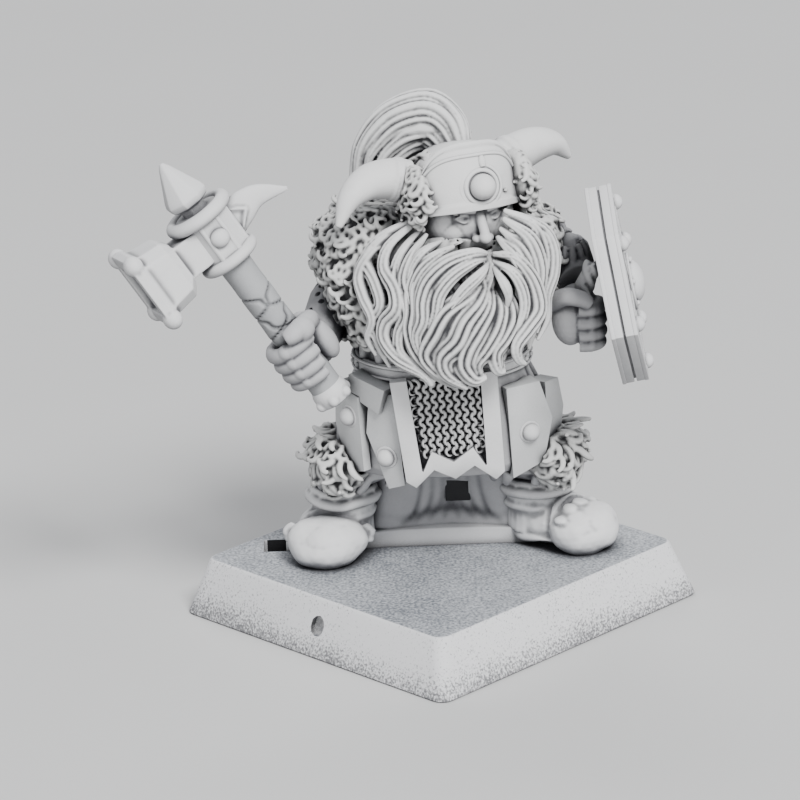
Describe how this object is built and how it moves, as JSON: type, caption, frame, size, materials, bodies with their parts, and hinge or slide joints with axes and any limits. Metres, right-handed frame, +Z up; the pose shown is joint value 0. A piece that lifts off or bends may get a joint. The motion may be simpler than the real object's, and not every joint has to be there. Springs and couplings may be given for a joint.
{
  "type": "tabletop miniature figure",
  "caption": "Cast metal game figure of a bearded fighter in a horned helmet, with a war hammer and a hexagonal shield, on a slotted square plastic base, primed pale grey and unpainted.",
  "frame": {"origin": "on the base's underside, below the middle of the square, on the foot of the slot's front wall", "axes": "the figure faces -Y, +X is its left (the shield side), +Z is up"},
  "size_m": [0.0391, 0.0352, 0.036],
  "materials": {
    "plastic": "matt grey primer, sprayed over the moulded plastic",
    "metal": "matt white primer over cast white metal",
    "cloth": "matt primer, cast as cloth folds",
    "fur": "matt primer, cast as curly fur",
    "hair": "matt primer, cast as thick locks",
    "skin": "matt primer, smooth",
    "armour": "matt primer over smooth plates"
  },
  "bodies": {
    "root": {"base": "plastic", "beard": "hair", "boot_cuff_left": "cloth", "boot_cuff_right": "cloth", "boot_left": "metal", "boot_right": "metal", "coat_skirt": "cloth", "coat_tail": "cloth", "collar_lower": "metal", "collar_upper": "metal", "crest": "hair", "fist_left": "skin", "fist_right": "skin", "forearm_left": "cloth", "forearm_right": "armour", "fur_hem_left": "fur", "fur_hem_right": "fur", "fur_mantle_back": "fur", "fur_mantle_left": "fur", "fur_mantle_right": "fur", "haft": "metal", "hammer_block": "metal", "hammer_fluke": "metal", "hammer_socket": "metal", "hammer_spike": "metal", "head": "skin", "helmet_bowl": "armour", "helmet_brow_plate": "armour", "helmet_knob": "armour", "horn_left": "armour", "horn_right": "armour", "mail_panel": "armour", "moustache": "hair", "panel_border_bottom": "armour", "panel_border_left": "armour", "panel_border_right": "armour", "pommel": "metal", "shield_board": "metal", "shield_boss": "metal", "shield_grip": "metal", "side_hair_left": "hair", "side_hair_right": "hair", "slot_tab": "metal", "socket_rivet": "metal", "tasset_left_inner": "armour", "tasset_left_outer": "armour", "tasset_right_inner": "armour", "tasset_right_outer": "armour", "tasset_rivet_1": "armour", "tasset_rivet_2": "armour", "tasset_rivet_3": "armour", "torso": "cloth", "trouser_left": "cloth", "trouser_right": "cloth", "upper_arm_left": "cloth", "upper_arm_right": "cloth", "waist_plate_right": "armour"}
  },
  "joints": []
}
